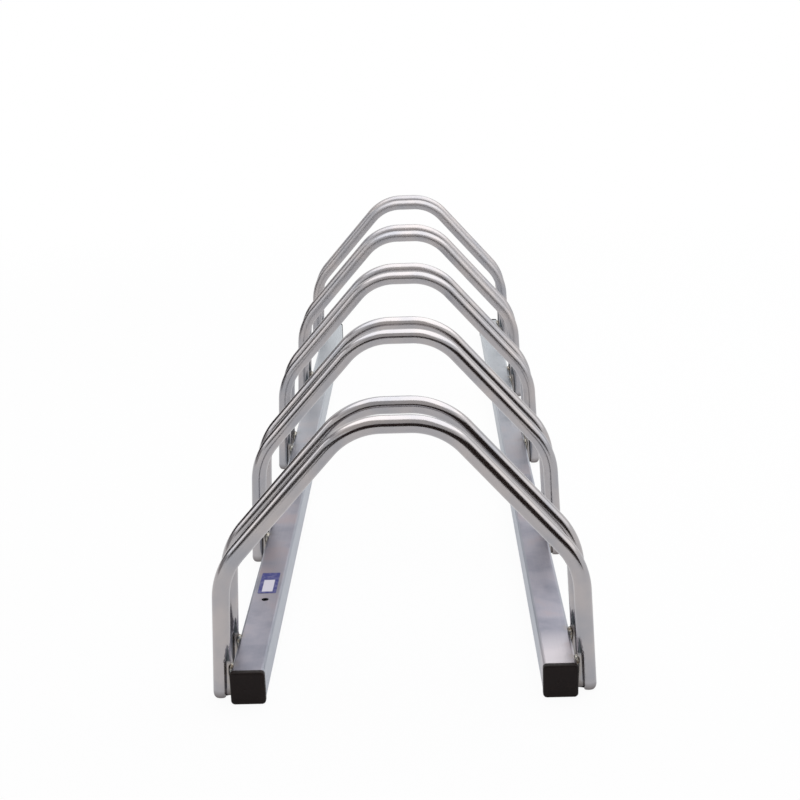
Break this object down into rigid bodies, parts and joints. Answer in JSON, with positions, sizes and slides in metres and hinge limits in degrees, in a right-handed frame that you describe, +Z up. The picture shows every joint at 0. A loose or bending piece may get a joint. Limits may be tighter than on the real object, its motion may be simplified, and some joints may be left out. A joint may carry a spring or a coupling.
{
  "type": "floor bike rack",
  "caption": "Low floor rack for bicycles: two square rails carry pairs of bent tube hoops, and a wheel stands between the two hoops of a pair.",
  "frame": {"origin": "centre of the footprint, on the floor", "axes": "+Y along the rails, +X across the rack, +Z up; the rail with the label lies on the -X side, and its hole is near the -Y end"},
  "size_m": [0.3446, 1.325, 0.26],
  "materials": {
    "galvanised_rail": "galvanised, satin",
    "zinc_tube": "bright zinc plate",
    "moulded_cap": "moulded, fine grain",
    "weld_metal": "as welded, heat tinted",
    "blank_vinyl": "gloss vinyl"
  },
  "bodies": {
    "root": {"rail_left": "galvanised_rail", "rail_right": "galvanised_rail", "end_cap_left_front": "moulded_cap", "end_cap_left_rear": "moulded_cap", "end_cap_right_front": "moulded_cap", "end_cap_right_rear": "moulded_cap", "hoop_1_front": "zinc_tube", "hoop_1_rear": "zinc_tube", "hoop_2_front": "zinc_tube", "hoop_2_rear": "zinc_tube", "hoop_3_front": "zinc_tube", "hoop_3_rear": "zinc_tube", "hoop_4_front": "zinc_tube", "hoop_4_rear": "zinc_tube", "hoop_5_front": "zinc_tube", "hoop_5_rear": "zinc_tube", "weld_beads_pair_1": "weld_metal", "weld_beads_pair_2": "weld_metal", "weld_beads_pair_3": "weld_metal", "weld_beads_pair_4": "weld_metal", "weld_beads_pair_5": "weld_metal", "blank_label": "blank_vinyl"}
  },
  "joints": []
}
